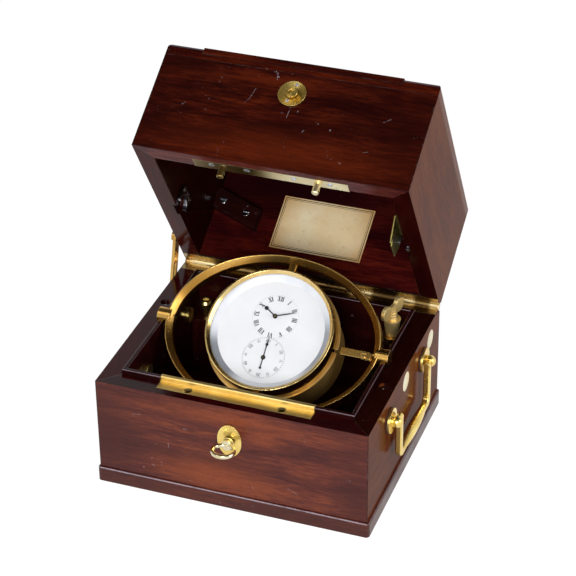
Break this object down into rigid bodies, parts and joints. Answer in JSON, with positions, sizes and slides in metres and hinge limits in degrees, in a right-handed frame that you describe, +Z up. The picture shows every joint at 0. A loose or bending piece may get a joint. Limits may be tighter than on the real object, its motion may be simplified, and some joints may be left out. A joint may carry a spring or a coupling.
{
  "type": "deck watch box",
  "caption": "Two-tier mahogany box with a hinged deep lid, a brass-gimballed marine watch, box lock and key, drop handles and a lid stay.",
  "frame": {"origin": "centre of the underside of the plinth, on the surface that it stands on", "axes": "+X to the right seen from the front (the lock side), +Y to the back (the hinge side), +Z up"},
  "size_m": [0.1978, 0.2363, 0.2467],
  "materials": {
    "mahogany": "french polished, worn",
    "dark_mahogany": "french polished",
    "brass": "lacquered, aged",
    "pale_brass": "polished",
    "steel": "worn",
    "dial_silver": "matte silvered",
    "polished_silver": "polished",
    "hand_black": "gloss",
    "clear_glass": "polished",
    "label_paper": "aged",
    "washer_leather": "worn"
  },
  "bodies": {
    "case": {"plinth_mouldings": "mahogany", "case_base_board": "mahogany", "case_front_board": "mahogany", "case_right_board": "mahogany", "case_back_board": "mahogany", "case_left_board": "mahogany", "rim_linings": "dark_mahogany", "case_hinge_leaf": "brass", "hinge_pin": "steel", "lock_strip": "brass", "lock_case": "brass", "lock_cover": "brass", "escutcheon": "brass", "handle_posts_and_nuts": "brass", "handle_washers": "washer_leather", "handle_flanges": "brass", "side_plugs_and_stay_stud": "pale_brass", "gimbal_saddles": "steel", "rim_screws": "steel", "winding_key_bracket": "brass", "corner_knob": "brass", "corner_post": "dark_mahogany"},
    "lid": {"lid_hinge_leaf": "brass", "lid_lock_plate_and_pins": "pale_brass", "hold_down_forks": "steel", "hold_down_leaf": "brass", "stay_pivot": "brass", "lid_glass": "clear_glass", "flap_hinge_board_leaves": "brass", "button_plate": "brass", "label": "label_paper", "lid_block": "dark_mahogany", "lid_screws": "steel", "lid_top_board": "mahogany", "lid_front_board": "mahogany", "lid_right_board": "mahogany", "lid_back_board": "mahogany", "lid_left_board": "mahogany"},
    "flap": {"flap_hinges_and_catch": "brass", "observation_flap": "mahogany"},
    "button": {"flap_button": "brass"},
    "stay": {"stay_strap": "brass"},
    "key": {"lock_key": "pale_brass"},
    "bolt": {"lock_bolt": "steel"},
    "ring": {"gimbal_ring": "brass", "gimbal_trunnions": "brass"},
    "lock_arm": {"bowl_lock_arm": "brass"},
    "bowl": {"watch_bowl": "brass", "bezel": "brass", "bowl_pivots": "brass", "dial": "dial_silver", "dial_surround": "polished_silver", "crystal": "clear_glass", "movement": "brass"},
    "hour": {"hour_hand": "hand_black"},
    "minute": {"minute_hand": "hand_black"},
    "second": {"seconds_hand": "hand_black"},
    "winder": {"winding_key": "brass"},
    "left_handle": {"handle_left": "brass"},
    "right_handle": {"handle_right": "brass"}
  },
  "joints": [
    {"name": "lid_hinge", "type": "hinge", "parent": "case", "child": "lid", "pos_m": [0, 0.076, 0.0769], "axis": [1, 0, 0], "range_deg": [0, 58.8]},
    {"name": "flap_hinge", "type": "hinge", "parent": "lid", "child": "flap", "pos_m": [0, 0.1331, 0.13241], "axis": [-1, 0, 0], "range_deg": [0, 100]},
    {"name": "button_press", "type": "slide", "parent": "lid", "child": "button", "axis": [0, 0.518, -0.8554], "range_m": [0, 0.0012], "stiffness_N_per_m": 300},
    {"name": "stay_swing", "type": "hinge", "parent": "lid", "child": "stay", "pos_m": [-0.0925, 0.06712, 0.10053], "axis": [1, 0, 0], "range_deg": [-29.4, 0]},
    {"name": "key_turn", "type": "hinge", "parent": "case", "child": "key", "pos_m": [0, -0.08, 0.0525], "axis": [0, -1, 0], "range_deg": [0, 90]},
    {"name": "bolt_slide", "type": "slide", "parent": "case", "child": "bolt", "axis": [1, 0, 0], "range_m": [0, 0.004]},
    {"name": "ring_swing", "type": "hinge", "parent": "case", "child": "ring", "pos_m": [0, 0.0025, 0.0807], "axis": [1, 0, 0], "range_deg": [-125, 55]},
    {"name": "bowl_swing", "type": "hinge", "parent": "ring", "child": "bowl", "pos_m": [0, 0.0025, 0.0807], "axis": [0, 0.8192, 0.5736], "range_deg": [-25, 25]},
    {"name": "arm_swing", "type": "hinge", "parent": "ring", "child": "lock_arm", "pos_m": [0.0621, 0.00135, 0.0799], "axis": [0, -0.5736, 0.8192], "range_deg": [0, 70]},
    {"name": "minute_turn", "type": "hinge", "parent": "bowl", "child": "minute", "pos_m": [0, 0.01135, 0.08689], "axis": [0, 0.5736, -0.8192], "continuous": true},
    {"name": "hour_turn", "type": "hinge", "parent": "bowl", "child": "hour", "pos_m": [0, 0.01135, 0.08689], "axis": [0, 0.5736, -0.8192], "continuous": true},
    {"name": "seconds_turn", "type": "hinge", "parent": "bowl", "child": "second", "pos_m": [0, -0.01208, 0.07049], "axis": [0, 0.5736, -0.8192], "continuous": true},
    {"name": "winding_key_lift", "type": "slide", "parent": "case", "child": "winder", "axis": [0, 0, 1], "range_m": [0, 0.045]},
    {"name": "left_handle_swing", "type": "hinge", "parent": "case", "child": "left_handle", "pos_m": [-0.095, 0.0026, 0.0595], "axis": [0, 1, 0], "range_deg": [0, 170]},
    {"name": "right_handle_swing", "type": "hinge", "parent": "case", "child": "right_handle", "pos_m": [0.095, 0.0026, 0.0595], "axis": [0, -1, 0], "range_deg": [0, 170]}
  ],
  "couplings": [
    {"joint": "stay_swing", "follows": "lid_hinge", "ratio": -0.5},
    {"joint": "key_turn", "follows": "bolt_slide", "rad_per_m": 392.6},
    {"joint": "hour_turn", "follows": "minute_turn", "ratio": 0.083333}
  ]
}
